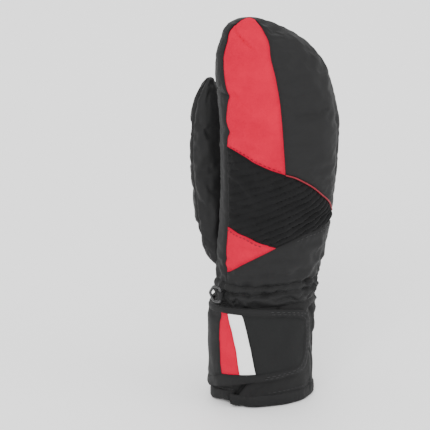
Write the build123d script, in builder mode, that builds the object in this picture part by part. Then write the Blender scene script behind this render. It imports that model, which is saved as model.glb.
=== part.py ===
from build123d import *
import math
import os

os.makedirs("parts", exist_ok=True)

# ---------------------------------------------------------------------------
# Insulated ski mitten for the right hand, standing on its cuff, fingers up.
# Millimetres.  +Z up the fingers, -X the thumb side, +X the little finger
# side, -Y the back of the hand, +Y the palm.  z = 0 is the cuff hem.
# ---------------------------------------------------------------------------

# where the mitten's working axes sit in the part frame
OX = -5.7            # X of the cuff's centre line
OY = -9.7            # Y of the cuff's centre line

# heights
HEM_H = 9.0          # top of the hem binding
CUFF_TOP = 78.0      # seam between cuff and wrist
GATHER_TOP = 94.0    # top of the elastic gathers
FLEX_Z = 208.0       # height of the finger flex axis
FLEX_Y = 1.5         # depth of the finger flex axis
FLEX_R = 31.5        # radius of the lapped finger joint
FLEX_GAP = 0.4       # clearance of the lapped finger joint
THUMB_Z = 158.0      # crotch height, where the thumb turns
THUMB_GAP = 0.35
DOME_Z = 245.0       # the finger tip's dome starts here

# layer depths under the outer surface: face fabric, insulation, membrane, lining
HAND_T = [0.0, 1.5, 7.0, 7.5, 8.5]
WRIST_T = [0.0, 1.5, 5.2, 5.7, 6.7]
CUFF_T = [0.0, 1.5, 4.5, 4.9, 5.9]
THUMB_T = [0.0, 1.2, 4.2, 4.6, 5.4]

# stack of the closure strap, outward from the cuff
LOOP_OUT = 1.0       # loop patch on the cuff
HOOK_IN, HOOK_OUT = 1.35, 2.1
STRAP_OUT = 3.6      # strap core
TRIM_OUT = 4.3       # face trims and binding
PIVOT_X, PIVOT_Y = -42.1, 8.2   # fold line of the strap, at its outer face

# clip ring at the wrist
RING_X, RING_Y = -36.4, -12.2   # the ring's bar
RING_LO, RING_HI = 78.8, 92.0
RING_DIR = 123.5     # direction of the ring from its bar, degrees from +X
BAR_R = 1.1

# outer surface of the hand and cuff: height, centre x, centre y, half width, half depth
BODY = [
    (0.0, -0.8, 0.0, 38.0, 29.6),
    (20.0, -0.8, 0.0, 38.2, 29.8),
    (50.0, 0.2, 0.0, 38.4, 29.8),
    (78.0, 1.5, 0.0, 38.8, 29.0),
    (88.0, 2.0, 0.0, 38.6, 27.8),
    (100.0, 4.0, 0.0, 39.6, 28.4),
    (120.0, 6.9, 0.0, 41.2, 30.2),
    (150.0, 10.2, 0.0, 42.5, 31.0),
    (180.0, 12.0, 0.5, 43.8, 30.0),
    (205.0, 12.6, 1.5, 44.2, 28.8),
    (225.0, 10.8, 2.5, 43.3, 27.2),
    (245.0, 7.6, 4.0, 41.8, 24.3),
    (260.0, 3.5, 5.5, 37.0, 20.5),
    (272.0, -1.0, 7.0, 28.0, 15.0),
    (280.0, -8.0, 8.0, 17.5, 9.6),
    (284.0, -10.5, 8.6, 9.0, 5.2),
    (285.5, -11.0, 8.7, 4.0, 2.2),
]
# outer surface of the thumb
THUMB = [
    (96.0, -18.0, 8.0, 12.0, 12.5),
    (108.0, -25.0, 15.0, 14.5, 15.5),
    (130.0, -28.5, 26.0, 15.5, 16.5),
    (150.0, -29.6, 33.0, 15.0, 16.0),
    (170.0, -31.1, 37.0, 14.5, 15.5),
    (190.0, -30.9, 38.5, 14.0, 15.0),
    (206.0, -30.6, 39.0, 13.0, 14.0),
    (218.0, -30.2, 39.0, 11.0, 12.0),
    (227.0, -29.6, 38.7, 8.0, 9.0),
    (232.5, -29.1, 38.3, 5.0, 5.8),
    (235.5, -28.7, 38.0, 2.6, 3.0),
]


def smooth_rows(rows, heights):
    """Rows of a table at other heights, by a monotone cubic through each column."""
    xs = [r[0] for r in rows]
    columns = []
    for c in range(1, len(rows[0])):
        ys = [r[c] for r in rows]
        h = [b - a for a, b in zip(xs, xs[1:])]
        d = [(b - a) / w for a, b, w in zip(ys, ys[1:], h)]
        m = [d[0]] + [0.0] * (len(xs) - 2) + [d[-1]]
        for i in range(1, len(xs) - 1):
            if d[i - 1] * d[i] > 0:
                w1, w2 = 2 * h[i] + h[i - 1], h[i] + 2 * h[i - 1]
                m[i] = (w1 + w2) / (w1 / d[i - 1] + w2 / d[i])
        column = []
        for x in heights:
            i = max(j for j in range(len(xs) - 1) if xs[j] <= x or j == 0)
            t = (x - xs[i]) / h[i]
            column.append((2 * t**3 - 3 * t**2 + 1) * ys[i] + (t**3 - 2 * t**2 + t) * h[i] * m[i]
                          + (-2 * t**3 + 3 * t**2) * ys[i + 1] + (t**3 - t**2) * h[i] * m[i + 1])
        columns.append(column)
    return [(x,) + tuple(col[i] for col in columns) for i, x in enumerate(heights)]


# evenly spaced sections keep the lofts from bulging between them
BODY = smooth_rows(BODY, [12.25 * i for i in range(20)] + [245.0 + 4.0 * i for i in range(11)])
THUMB = smooth_rows(THUMB, [96.0 + 10.0 * i for i in range(11)] + [206.0 + 4.2 * i for i in range(1, 8)])


def depth_at(k, z):
    """Depth of layer k under the outer surface at height z."""
    if z <= 74.0:
        return CUFF_T[k]
    if z <= 90.0:
        return WRIST_T[k]
    return HAND_T[k]


def hand_sections(k):
    out = []
    a0, b0 = 41.8, 24.3
    t = HAND_T[k]
    top = BODY[-1][0]
    for z, cx, cy, a, b in BODY:
        if z < DOME_Z:
            d = depth_at(k, z)
            out.append((z, cx, cy, a - d, b - d))
        else:
            f = (z - DOME_Z) / (top - DOME_Z)
            zz = DOME_Z + (z - DOME_Z) * (top - DOME_Z - t) / (top - DOME_Z)
            out.append((zz, cx, cy, a * (a0 - t) / a0, b * (b0 - t) / b0))
    return out


def thumb_sections(k):
    out = []
    t = THUMB_T[k]
    base, top = 206.0, THUMB[-1][0]
    for z, cx, cy, a, b in THUMB:
        if z < base:
            out.append((z, cx, cy, a - t, b - t))
        else:
            zz = base + (z - base) * (top - base - t) / (top - base)
            out.append((zz, cx, cy, a * (13.0 - t) / 13.0, b * (14.0 - t) / 14.0))
    return out


def loft_sections(sections):
    """Closed solid through a stack of ellipses."""
    with BuildPart() as body:
        for z, cx, cy, a, b in sections:
            with BuildSketch(Plane.XY.offset(z)):
                with Locations((OX + cx, OY + cy)):
                    Ellipse(a, b)
        loft()
    return body.part


def cuff_solid(out):
    """Cuff surface moved outward by a distance, for the strap's layers."""
    return loft_sections([(z, cx, cy, a + out, b + out)
                          for z, cx, cy, a, b in BODY if z <= 111.0])


def xz_prism(points):
    """Prism through the whole depth from a front view outline (x, z)."""
    with BuildPart() as prism:
        with BuildSketch(Plane.XZ.offset(90)):
            with BuildLine():
                Polyline([(OX + x, z) for x, z in points], close=True)
            make_face()
        extrude(amount=-180)
    return prism.part


def yz_prism(points, x0=-120.0, x1=120.0):
    """Prism across the width from a side view outline (y, z)."""
    with BuildPart() as prism:
        with BuildSketch(Plane.YZ.offset(x0)):
            with BuildLine():
                Polyline([(OY + y, z) for y, z in points], close=True)
            make_face()
        extrude(amount=x1 - x0)
    return prism.part


def slab(z0, z1):
    with BuildPart() as s:
        with BuildSketch(Plane.XY.offset(z0)):
            Rectangle(300, 300)
        extrude(amount=z1 - z0)
    return s.part


def save(part, name):
    part.label = name
    export_step(part, "parts/%s.step" % name)
    print("%-24s solids %d volume %.0f" % (name, len(part.solids()), part.volume))


HAND = [loft_sections(hand_sections(k)) for k in range(5)]
TH = [loft_sections(thumb_sections(k)) for k in range(5)]

# --- shells ------------------------------------------------------------------
above_cuff = slab(CUFF_TOP, 300)

# face fabric of the hand, with the thumb's opening in it
with BuildPart() as hand_skin:
    add(HAND[0])
    add(HAND[1], mode=Mode.SUBTRACT)
    add(TH[1], mode=Mode.SUBTRACT)
    add(above_cuff, mode=Mode.INTERSECT)
hand_skin = hand_skin.part

# face fabric of the thumb, outside the hand
with BuildPart() as thumb_skin:
    add(TH[0])
    add(TH[1], mode=Mode.SUBTRACT)
    add(HAND[0], mode=Mode.SUBTRACT)
thumb_skin = thumb_skin.part

# zones of the hand's surface seen from the side: back, palm, and the gusset between
BACK_ZONE = [(-70, 60), (-4.5, 60), (-4.5, 235), (-1.5, 250), (3.5, 272), (7.0, 282),
             (8.0, 295), (-70, 295)]
PALM_ZONE = [(70, 60), (7.0, 60), (7.0, 235), (9.5, 250), (12.5, 272), (13.0, 295), (70, 295)]
GUSSET_ZONE = [(-4.5, 60), (-4.5, 235), (-1.5, 250), (3.5, 272), (7.0, 282), (8.0, 295),
               (13.0, 295), (12.5, 272), (9.5, 250), (7.0, 235), (7.0, 60)]

with BuildPart() as back_skin:
    add(hand_skin)
    add(yz_prism(BACK_ZONE), mode=Mode.INTERSECT)
back_skin = back_skin.part
with BuildPart() as palm_skin:
    add(hand_skin)
    add(yz_prism(PALM_ZONE), mode=Mode.INTERSECT)
palm_skin = palm_skin.part
with BuildPart() as side_skin:
    add(hand_skin)
    add(yz_prism(GUSSET_ZONE), mode=Mode.INTERSECT)
side_skin = side_skin.part

# seam lines of the back, (x, z)
RED_RIGHT = [(-2.0, 290), (-1.2, 275), (0.6, 263), (4.0, 245), (6.3, 226), (7.5, 206.5), (8.5, 178.5)]
RED_BASE = [(8.5, 178.5), (-8.9, 185.5), (-19.7, 191.5), (-30.4, 196.5), (-60, 197.0)]
PIPE_TOP = [(8.5, 180.3), (20.2, 173.4), (36.5, 159.9), (48.6, 145.4), (62, 131.0)]
PIPE_BOT = [(8.5, 178.5), (20.2, 171.6), (36.5, 158.1), (48.6, 143.6), (62, 129.2)]
WEDGE_TOP = [(1.6, 123.8), (-13.0, 130.5), (-26.0, 134.0), (-31.2, 137.0), (-60, 138.0)]
WEDGE_BOT = [(-60, 101.5), (-34.0, 102.5), (-27.0, 107.5), (-18.3, 114.0), (1.6, 123.8)]
RIB_BASE = [(62, 128.0), (48.6, 133.5), (23.8, 131.5), (1.6, 123.8)]

with BuildPart() as red_upper_panel:
    add(back_skin)
    add(xz_prism([(-60, 290)] + RED_RIGHT + RED_BASE[1:]), mode=Mode.INTERSECT)
save(red_upper_panel.part, "red_upper_panel")

with BuildPart() as back_upper_shell:
    add(back_skin)
    add(xz_prism(RED_RIGHT[:-1] + PIPE_TOP + [(62, 290)]), mode=Mode.INTERSECT)
save(back_upper_shell.part, "back_upper_shell")

with BuildPart() as red_piping:
    add(back_skin)
    add(xz_prism(PIPE_TOP + PIPE_BOT[::-1]), mode=Mode.INTERSECT)
save(red_piping.part, "red_piping")

with BuildPart() as knuckle_rib_panel:
    add(back_skin)
    add(xz_prism(RED_BASE[::-1] + PIPE_BOT[1:] + RIB_BASE + WEDGE_TOP[1:]), mode=Mode.INTERSECT)
save(knuckle_rib_panel.part, "knuckle_rib_panel")

with BuildPart() as red_wedge_panel:
    add(back_skin)
    add(xz_prism(WEDGE_TOP + WEDGE_BOT[:-1]), mode=Mode.INTERSECT)
save(red_wedge_panel.part, "red_wedge_panel")

with BuildPart() as lower_back_panel:
    add(back_skin)
    add(xz_prism(WEDGE_BOT + RIB_BASE[::-1][1:] + [(62, GATHER_TOP), (-60, GATHER_TOP)]),
        mode=Mode.INTERSECT)
save(lower_back_panel.part, "lower_back_panel")

# elastic gathers: a pleated band of face fabric round the back and both sides
with BuildPart() as wrist_gather_panel:
    add(hand_skin)
    add(slab(CUFF_TOP, GATHER_TOP), mode=Mode.INTERSECT)
    add(yz_prism(PALM_ZONE), mode=Mode.SUBTRACT)
save(wrist_gather_panel.part, "wrist_gather_panel")

# side gussets and the rim that runs over the finger tips
with BuildPart() as index_gusset:
    add(side_skin)
    add(xz_prism([(-60, GATHER_TOP), (-10, GATHER_TOP), (-10, 236), (-60, 236)]), mode=Mode.INTERSECT)
save(index_gusset.part, "index_gusset")
with BuildPart() as pinky_gusset:
    add(side_skin)
    add(xz_prism([(20, GATHER_TOP), (70, GATHER_TOP), (70, 236), (20, 236)]), mode=Mode.INTERSECT)
save(pinky_gusset.part, "pinky_gusset")
with BuildPart() as tip_rim:
    add(side_skin)
    add(slab(236, 300), mode=Mode.INTERSECT)
save(tip_rim.part, "tip_rim")

# palm side, top to bottom
PALM_1 = [(-60, 237.0), (62, 230.5)]
PALM_2 = [(-60, 217.0), (62, 208.5)]
PALM_3 = [(-60, 189.0), (62, 178.5)]
PALM_4 = [(-60, 158.0), (-5, 151.0), (10, 142.0), (30, 131.0), (50, 123.0), (62, 119.0)]


def palm_piece(name, upper, lower):
    with BuildPart() as piece:
        add(palm_skin)
        add(xz_prism(upper + lower[::-1]), mode=Mode.INTERSECT)
    save(piece.part, name)


palm_piece("palm_tip_patch", [(-60, 295.0), (62, 295.0)], PALM_1)
palm_piece("palm_flex_band", PALM_1, PALM_2)
palm_piece("palm_mid_patch", PALM_2, PALM_3)
palm_piece("palm_main_patch", PALM_3, PALM_4)
palm_piece("palm_heel_panel", PALM_4, [(-60, CUFF_TOP), (62, CUFF_TOP)])

# thumb: a back half and a palm half, seamed along its sides
THUMB_SEAM = [(8, 90), (15, 108), (26, 130), (33, 150), (37, 170), (38.5, 190), (39, 206),
              (39, 218), (38.2, 240)]
with BuildPart() as thumb_back_shell:
    add(thumb_skin)
    add(yz_prism([(-70, 90)] + THUMB_SEAM + [(-70, 240)]), mode=Mode.INTERSECT)
save(thumb_back_shell.part, "thumb_back_shell")
with BuildPart() as thumb_palm_shell:
    add(thumb_skin)
    add(yz_prism([(90, 90)] + THUMB_SEAM + [(90, 240)]), mode=Mode.INTERSECT)
save(thumb_palm_shell.part, "thumb_palm_shell")

# --- joint regions -----------------------------------------------------------
def flex_region(radius):
    """Everything above the flex axis and outside a cylinder round it."""
    with BuildPart() as region:
        with BuildSketch(Plane.XY.offset(FLEX_Z)):
            Rectangle(300, 300)
        extrude(amount=120)
        with BuildSketch(Plane.YZ.offset(-150)):
            with Locations((OY + FLEX_Y, FLEX_Z)):
                Circle(radius)
        extrude(amount=300, mode=Mode.SUBTRACT)
    return region.part


finger_keep = flex_region(FLEX_R)
finger_clear = flex_region(FLEX_R - FLEX_GAP)

with BuildPart() as thumb_clear:
    add(TH[0])
    add(slab(THUMB_Z, 300), mode=Mode.INTERSECT)
thumb_clear = thumb_clear.part

# --- wrist elastic -----------------------------------------------------------
with BuildPart() as wrist_elastic:
    add(HAND[1])
    add(loft_sections([(z, cx, cy, a - 2.3, b - 2.3) for z, cx, cy, a, b in BODY if z <= 150]),
        mode=Mode.SUBTRACT)
    add(slab(81.0, 91.0), mode=Mode.INTERSECT)
wrist_elastic = wrist_elastic.part
save(wrist_elastic, "wrist_elastic")

# --- insulation --------------------------------------------------------------
SPLIT_Y = 1.2        # seam between the back and palm wadding
back_half = yz_prism([(-80, 0), (SPLIT_Y, 0), (SPLIT_Y, 300), (-80, 300)])
palm_half = yz_prism([(SPLIT_Y, 0), (90, 0), (90, 300), (SPLIT_Y, 300)])

with BuildPart() as hand_wadding:
    add(HAND[1])
    add(HAND[2], mode=Mode.SUBTRACT)
    add(TH[2], mode=Mode.SUBTRACT)
    add(above_cuff, mode=Mode.INTERSECT)
hand_wadding = hand_wadding.part

with BuildPart() as lower_wadding:
    add(hand_wadding)
    add(finger_clear, mode=Mode.SUBTRACT)
    add(wrist_elastic, mode=Mode.SUBTRACT)
lower_wadding = lower_wadding.part

with BuildPart() as insulation_back:
    add(lower_wadding)
    add(back_half, mode=Mode.INTERSECT)
save(insulation_back.part, "insulation_back")
with BuildPart() as insulation_palm:
    add(lower_wadding)
    add(palm_half, mode=Mode.INTERSECT)
save(insulation_palm.part, "insulation_palm")

# wadding of the thumb's root, fixed to the hand
with BuildPart() as insulation_thumb_root:
    add(TH[1])
    add(TH[2], mode=Mode.SUBTRACT)
    add(HAND[1], mode=Mode.SUBTRACT)
    add(slab(THUMB_Z, 300), mode=Mode.SUBTRACT)
save(insulation_thumb_root.part, "insulation_thumb_root")

with BuildPart() as insulation_thumb:
    add(TH[1])
    add(TH[2], mode=Mode.SUBTRACT)
    add(slab(THUMB_Z + THUMB_GAP, 300), mode=Mode.INTERSECT)
save(insulation_thumb.part, "insulation_thumb")

with BuildPart() as finger_wadding:
    add(hand_wadding)
    add(finger_keep, mode=Mode.INTERSECT)
    add(HAND[3], mode=Mode.SUBTRACT)
    add(Pos(0, 0, 0.25) * HAND[3], mode=Mode.SUBTRACT)
finger_wadding = finger_wadding.part
FINGER_BACK = [(-80, 200), (2.0, 200), (2.0, 225), (8.0, 276), (8.0, 300), (-80, 300)]
FINGER_PALM = [(90, 200), (2.0, 200), (2.0, 225), (8.0, 276), (8.0, 300), (90, 300)]
with BuildPart() as insulation_finger_back:
    add(finger_wadding)
    add(yz_prism(FINGER_BACK), mode=Mode.INTERSECT)
save(insulation_finger_back.part, "insulation_finger_back")
with BuildPart() as insulation_finger_palm:
    add(finger_wadding)
    add(yz_prism(FINGER_PALM), mode=Mode.INTERSECT)
save(insulation_finger_palm.part, "insulation_finger_palm")

# --- membrane and lining, each one bag that reaches into the thumb -----------
def bag(outer, inner, name):
    with BuildPart() as thumb_part:
        add(TH[outer])
        add(TH[inner], mode=Mode.SUBTRACT)
        add(HAND[outer], mode=Mode.SUBTRACT)
    with BuildPart() as whole:
        add(HAND[outer])
        add(HAND[inner], mode=Mode.SUBTRACT)
        add(TH[inner], mode=Mode.SUBTRACT)
        add(above_cuff, mode=Mode.INTERSECT)
        add(thumb_part.part)
    save(whole.part, name)


bag(2, 3, "membrane_insert")
bag(3, 4, "hand_lining")

# --- cuff --------------------------------------------------------------------
cuff_slab = slab(HEM_H, CUFF_TOP)

with BuildPart() as cuff_skin:
    add(HAND[0])
    add(HAND[1], mode=Mode.SUBTRACT)
    add(cuff_slab, mode=Mode.INTERSECT)
cuff_skin = cuff_skin.part
gusset_slot = yz_prism([(-80, 0), (-5, 0), (-5, 90), (-80, 90)], OX - 29.0, OX - 20.0)
CUFF_SPLIT = -0.8    # side seams of the cuff
front_cut = yz_prism([(-80, 0), (CUFF_SPLIT, 0), (CUFF_SPLIT, 90), (-80, 90)])

with BuildPart() as cuff_back_panel:
    add(cuff_skin)
    add(front_cut, mode=Mode.INTERSECT)
    add(gusset_slot, mode=Mode.SUBTRACT)
back_pieces = cuff_back_panel.part.solids().sort_by(Axis.X)
with BuildPart() as cuff_side_panel:
    add(back_pieces[0])
save(cuff_side_panel.part, "cuff_side_panel")
with BuildPart() as cuff_front_panel:
    add(back_pieces[-1])
save(cuff_front_panel.part, "cuff_back_panel")
with BuildPart() as cuff_pleat_gusset:
    add(cuff_skin)
    add(gusset_slot, mode=Mode.INTERSECT)
save(cuff_pleat_gusset.part, "cuff_pleat_gusset")
with BuildPart() as cuff_palm_panel:
    add(cuff_skin)
    add(front_cut, mode=Mode.SUBTRACT)
save(cuff_palm_panel.part, "cuff_palm_panel")

with BuildPart() as cuff_padding:
    add(HAND[1])
    add(HAND[3], mode=Mode.SUBTRACT)
    add(cuff_slab, mode=Mode.INTERSECT)
save(cuff_padding.part, "cuff_padding")
with BuildPart() as cuff_lining:
    add(HAND[3])
    add(HAND[4], mode=Mode.SUBTRACT)
    add(cuff_slab, mode=Mode.INTERSECT)
save(cuff_lining.part, "cuff_lining")
with BuildPart() as hem_binding:
    add(HAND[0])
    add(HAND[4], mode=Mode.SUBTRACT)
    add(slab(-1, HEM_H), mode=Mode.INTERSECT)
save(hem_binding.part, "hem_binding")

# --- closure strap -----------------------------------------------------------
C = {out: cuff_solid(out) for out in (LOOP_OUT, HOOK_IN, HOOK_OUT, STRAP_OUT, TRIM_OUT)}
cuff_core = HAND[0]

STRAP = [(-60, 75.5), (-37, 76.5), (-24, 78.5), (-4, 77.5), (16, 73.5), (22, 69), (24.5, 61),
         (24.5, 38), (22, 29), (16, 24.5), (-8, 22.5), (-25, 20), (-37, 16.5), (-60, 15.5)]
STRAP_IN = [(-60, 69.5), (-37, 70.5), (-24, 72.5), (-4, 71.5), (12, 68.5), (16.5, 65), (18.5, 58),
            (18.5, 40), (16.5, 33.5), (12, 30.5), (-8, 28.5), (-25, 26), (-37, 22.5), (-60, 21.5)]
strap_side = yz_prism([(-80, 0), (PIVOT_Y - 0.1, 0), (PIVOT_Y - 0.1, 100), (-80, 100)])


def strap_layer(outer, inner, outline, extra=None, cut=None, keep=strap_side):
    with BuildPart() as layer:
        add(C[outer])
        add(C[inner], mode=Mode.SUBTRACT)
        add(xz_prism(outline), mode=Mode.INTERSECT)
        add(keep, mode=Mode.INTERSECT)
        if extra is not None:
            add(extra, mode=Mode.INTERSECT)
        if cut is not None:
            add(cut, mode=Mode.SUBTRACT)
    return layer.part


save(strap_layer(STRAP_OUT, HOOK_OUT, STRAP), "strap_panel")
save(strap_layer(TRIM_OUT, STRAP_OUT, STRAP, cut=xz_prism(STRAP_IN)), "strap_binding")
# face trims between the bindings: red inset, slanted light stripe, dark end
STRIPE_L, STRIPE_R = [(-27.5, 90), (-21.5, 60), (-21, 35), (-26.5, 0)], \
                     [(-14.0, 90), (-9.5, 60), (-10.0, 35), (-17.0, 0)]
save(strap_layer(TRIM_OUT, STRAP_OUT, STRAP_IN,
                 extra=xz_prism([(-70, 90)] + STRIPE_L + [(-70, 0)])), "strap_red_panel")
save(strap_layer(TRIM_OUT, STRAP_OUT, STRAP_IN,
                 extra=xz_prism(STRIPE_L + STRIPE_R[::-1])), "strap_light_stripe")
save(strap_layer(TRIM_OUT, STRAP_OUT, STRAP_IN,
                 extra=xz_prism(STRIPE_R + [(60, 0), (60, 90)])), "strap_end_panel")
save(strap_layer(HOOK_OUT, HOOK_IN,
                 [(-2, 68), (14, 65), (19, 58), (19, 40), (14, 32), (-2, 30)]), "strap_hook_patch")

with BuildPart() as cuff_loop_patch:
    add(C[LOOP_OUT])
    add(cuff_core, mode=Mode.SUBTRACT)
    add(xz_prism([(-14, 70), (22, 66), (22, 31), (-14, 29)]), mode=Mode.INTERSECT)
    add(front_cut, mode=Mode.INTERSECT)
save(cuff_loop_patch.part, "cuff_loop_patch")

with BuildPart() as strap_base:
    add(C[STRAP_OUT])
    add(cuff_core, mode=Mode.SUBTRACT)
    add(xz_prism([(-60, 75.5), (-12, 75.5), (-12, 15.5), (-60, 15.5)]), mode=Mode.INTERSECT)
    add(yz_prism([(PIVOT_Y + 1.1, 0), (80, 0), (80, 100), (PIVOT_Y + 1.1, 100)]), mode=Mode.INTERSECT)
save(strap_base.part, "strap_base")

# --- clip ring and its tab -----------------------------------------------------
ring_dir = Vector(math.cos(math.radians(RING_DIR)), math.sin(math.radians(RING_DIR)), 0)
ring_plane = Plane(origin=(OX + RING_X, OY + RING_Y, 0), x_dir=ring_dir,
                   z_dir=ring_dir.cross(Vector(0, 0, 1)))
mid = (RING_LO + RING_HI) / 2
with BuildPart() as hook_ring:
    with BuildSketch(ring_plane):
        with BuildLine():
            Polyline([(-BAR_R, RING_LO), (6.6, RING_LO), (11.0, mid), (6.6, RING_HI),
                      (-BAR_R, RING_HI)], close=True)
        make_face()
        with BuildLine():
            Polyline([(-4.0, RING_LO + 2.4), (5.6, RING_LO + 2.4), (8.2, mid),
                      (5.6, RING_HI - 2.4), (-4.0, RING_HI - 2.4)], close=True)
        make_face(mode=Mode.SUBTRACT)
    extrude(amount=1.1, both=True)
    with BuildSketch(Plane.XY.offset(RING_LO)):
        with Locations((OX + RING_X, OY + RING_Y)):
            Circle(BAR_R)
    extrude(amount=RING_HI - RING_LO)
save(hook_ring.part, "hook_ring")

tab_angle = RING_DIR - 90.0     # the tab's face turns with the ring's plane
with BuildPart() as hook_tab:
    with BuildSketch(Plane(origin=(OX + RING_X, OY + RING_Y, mid - 3.0),
                           x_dir=(math.cos(math.radians(tab_angle)),
                                  math.sin(math.radians(tab_angle)), 0),
                           z_dir=(0, 0, 1))):
        with BuildLine():
            Polyline([(-2.4, -2.3), (6.0, -2.3), (6.0, 2.3), (-2.4, 2.3)], close=True)
        make_face()
        Circle(BAR_R + 0.4, mode=Mode.SUBTRACT)
    extrude(amount=6.0)
    add(HAND[0], mode=Mode.SUBTRACT)
save(hook_tab.part, "hook_tab")
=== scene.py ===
import math
import numpy as np
import bpy
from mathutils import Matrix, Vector
from mathutils.geometry import delaunay_2d_cdt


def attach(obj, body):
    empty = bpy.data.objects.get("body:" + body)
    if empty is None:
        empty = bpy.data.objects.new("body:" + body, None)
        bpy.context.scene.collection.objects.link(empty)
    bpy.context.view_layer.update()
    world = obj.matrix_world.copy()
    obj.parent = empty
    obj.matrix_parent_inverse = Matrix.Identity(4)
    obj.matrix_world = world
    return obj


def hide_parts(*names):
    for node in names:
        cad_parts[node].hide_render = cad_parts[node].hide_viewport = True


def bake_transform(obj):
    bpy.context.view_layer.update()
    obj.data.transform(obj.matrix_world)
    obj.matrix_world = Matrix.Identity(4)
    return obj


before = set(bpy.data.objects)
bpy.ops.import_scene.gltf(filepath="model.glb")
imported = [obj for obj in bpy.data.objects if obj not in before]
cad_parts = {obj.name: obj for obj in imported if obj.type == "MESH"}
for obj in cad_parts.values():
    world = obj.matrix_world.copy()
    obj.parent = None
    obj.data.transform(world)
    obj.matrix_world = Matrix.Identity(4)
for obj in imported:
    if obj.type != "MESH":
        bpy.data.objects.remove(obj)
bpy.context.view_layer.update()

# ---------------------------------------------------------------- frame (mm)
OX, OY = -5.7, -9.7
HAND, FINGERS, THUMB_B, STRAP_B, CLIP_B = "hand", "fingers", "thumb", "strap", "clip"

# camera first: the photograph's view
AZ, EL, DIST = math.radians(-17), math.radians(19), 1.5
target = Vector((OX, OY, 142.0)) * 0.001
back = Vector((math.sin(AZ) * math.cos(EL), -math.cos(AZ) * math.cos(EL), math.sin(EL)))
cam_data = bpy.data.cameras.new("camera")
cam = bpy.data.objects.new("camera", cam_data)
bpy.context.scene.collection.objects.link(cam)
cam.location = target + back * DIST
cam.rotation_mode = "QUATERNION"
cam.rotation_quaternion = (-back).to_track_quat("-Z", "Y")
cam_data.sensor_width = 36.0
cam_data.lens = 36.0 * DIST / (430 * 0.728 * 0.001)
cam_data.shift_x = -(263.5 - 215.0) / 430.0
cam_data.shift_y = -(215.0 - 212.0) / 430.0
cam_data.clip_start, cam_data.clip_end = 0.05, 20
bpy.context.scene.camera = cam

# ---------------------------------------------------------------- tables (mm)
BODY = [
    (0.0, -0.8, 0.0, 38.0, 29.6), (20.0, -0.8, 0.0, 38.2, 29.8), (50.0, 0.2, 0.0, 38.4, 29.8),
    (72.0, 1.3, 0.0, 38.6, 29.2), (79.0, 1.6, 0.0, 38.0, 28.2), (88.0, 2.0, 0.0, 38.0, 27.4),
    (100.0, 4.0, 0.0, 39.6, 28.4), (120.0, 6.9, 0.0, 41.2, 30.2), (150.0, 10.2, 0.0, 42.5, 31.0),
    (180.0, 12.0, 0.5, 43.8, 30.0), (205.0, 12.6, 1.5, 44.2, 28.8), (225.0, 10.8, 2.5, 43.3, 27.2),
    (245.0, 7.6, 4.0, 41.8, 24.3), (260.0, 3.5, 5.5, 37.0, 20.5), (272.0, -1.0, 7.0, 28.5, 15.5),
    (280.0, -6.5, 8.0, 19.5, 10.6), (284.0, -8.5, 8.5, 11.5, 6.4), (285.6, -8.6, 8.6, 5.8, 3.4),
    (286.1, -8.6, 8.6, 0.35, 0.25)]
THUMB = [
    (96.0, -18.0, 8.0, 12.0, 12.5), (108.0, -25.0, 15.0, 14.5, 15.5), (130.0, -28.5, 26.0, 15.5, 16.5),
    (150.0, -29.6, 33.0, 15.0, 16.0), (170.0, -31.1, 37.0, 14.5, 15.5), (190.0, -30.9, 38.5, 14.0, 15.0),
    (206.0, -30.6, 39.0, 13.0, 14.0), (218.0, -30.2, 39.0, 11.0, 12.0), (227.0, -29.6, 38.7, 8.0, 9.0),
    (232.5, -29.1, 38.3, 5.0, 5.8), (235.0, -28.8, 38.0, 2.7, 3.1), (236.0, -28.7, 38.0, 0.3, 0.3)]


def pchip(x, y, xi):
    x = np.asarray(x, float); y = np.asarray(y, float); xi = np.asarray(xi, float)
    h = np.diff(x); d = np.diff(y) / h
    m = np.zeros_like(y); m[0] = d[0]; m[-1] = d[-1]
    for i in range(1, len(x) - 1):
        if d[i - 1] * d[i] > 0:
            w1, w2 = 2 * h[i] + h[i - 1], h[i] + 2 * h[i - 1]
            m[i] = (w1 + w2) / (w1 / d[i - 1] + w2 / d[i])
    k = np.clip(np.searchsorted(x, xi) - 1, 0, len(x) - 2)
    t = (xi - x[k]) / h[k]
    return ((2 * t**3 - 3 * t**2 + 1) * y[k] + (t**3 - 2 * t**2 + t) * h[k] * m[k]
            + (-2 * t**3 + 3 * t**2) * y[k + 1] + (t**3 - t**2) * h[k] * m[k + 1])


def sstep(a, b, x):
    t = np.clip((np.asarray(x, float) - a) / (b - a), 0, 1)
    return t * t * (3 - 2 * t)


class Noise:
    """Seeded smooth lattice noise in -1..1, periodic in its first axis."""
    def __init__(self, seed, n0=64, n1=256):
        self.g = np.random.RandomState(seed).uniform(-1, 1, (n0, n1))

    def __call__(self, x, y, period=None):
        n0 = self.g.shape[0] if period is None else period
        x = np.asarray(x, float); y = np.asarray(y, float)
        i, j = np.floor(x).astype(int), np.floor(y).astype(int)
        fx, fy = x - i, y - j
        fx, fy = fx * fx * (3 - 2 * fx), fy * fy * (3 - 2 * fy)
        g = self.g
        a = g[i % n0, j % 256]; b = g[(i + 1) % n0, j % 256]
        c = g[i % n0, (j + 1) % 256]; d = g[(i + 1) % n0, (j + 1) % 256]
        return (a * (1 - fx) + b * fx) * (1 - fy) + (c * (1 - fx) + d * fx) * fy


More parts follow.
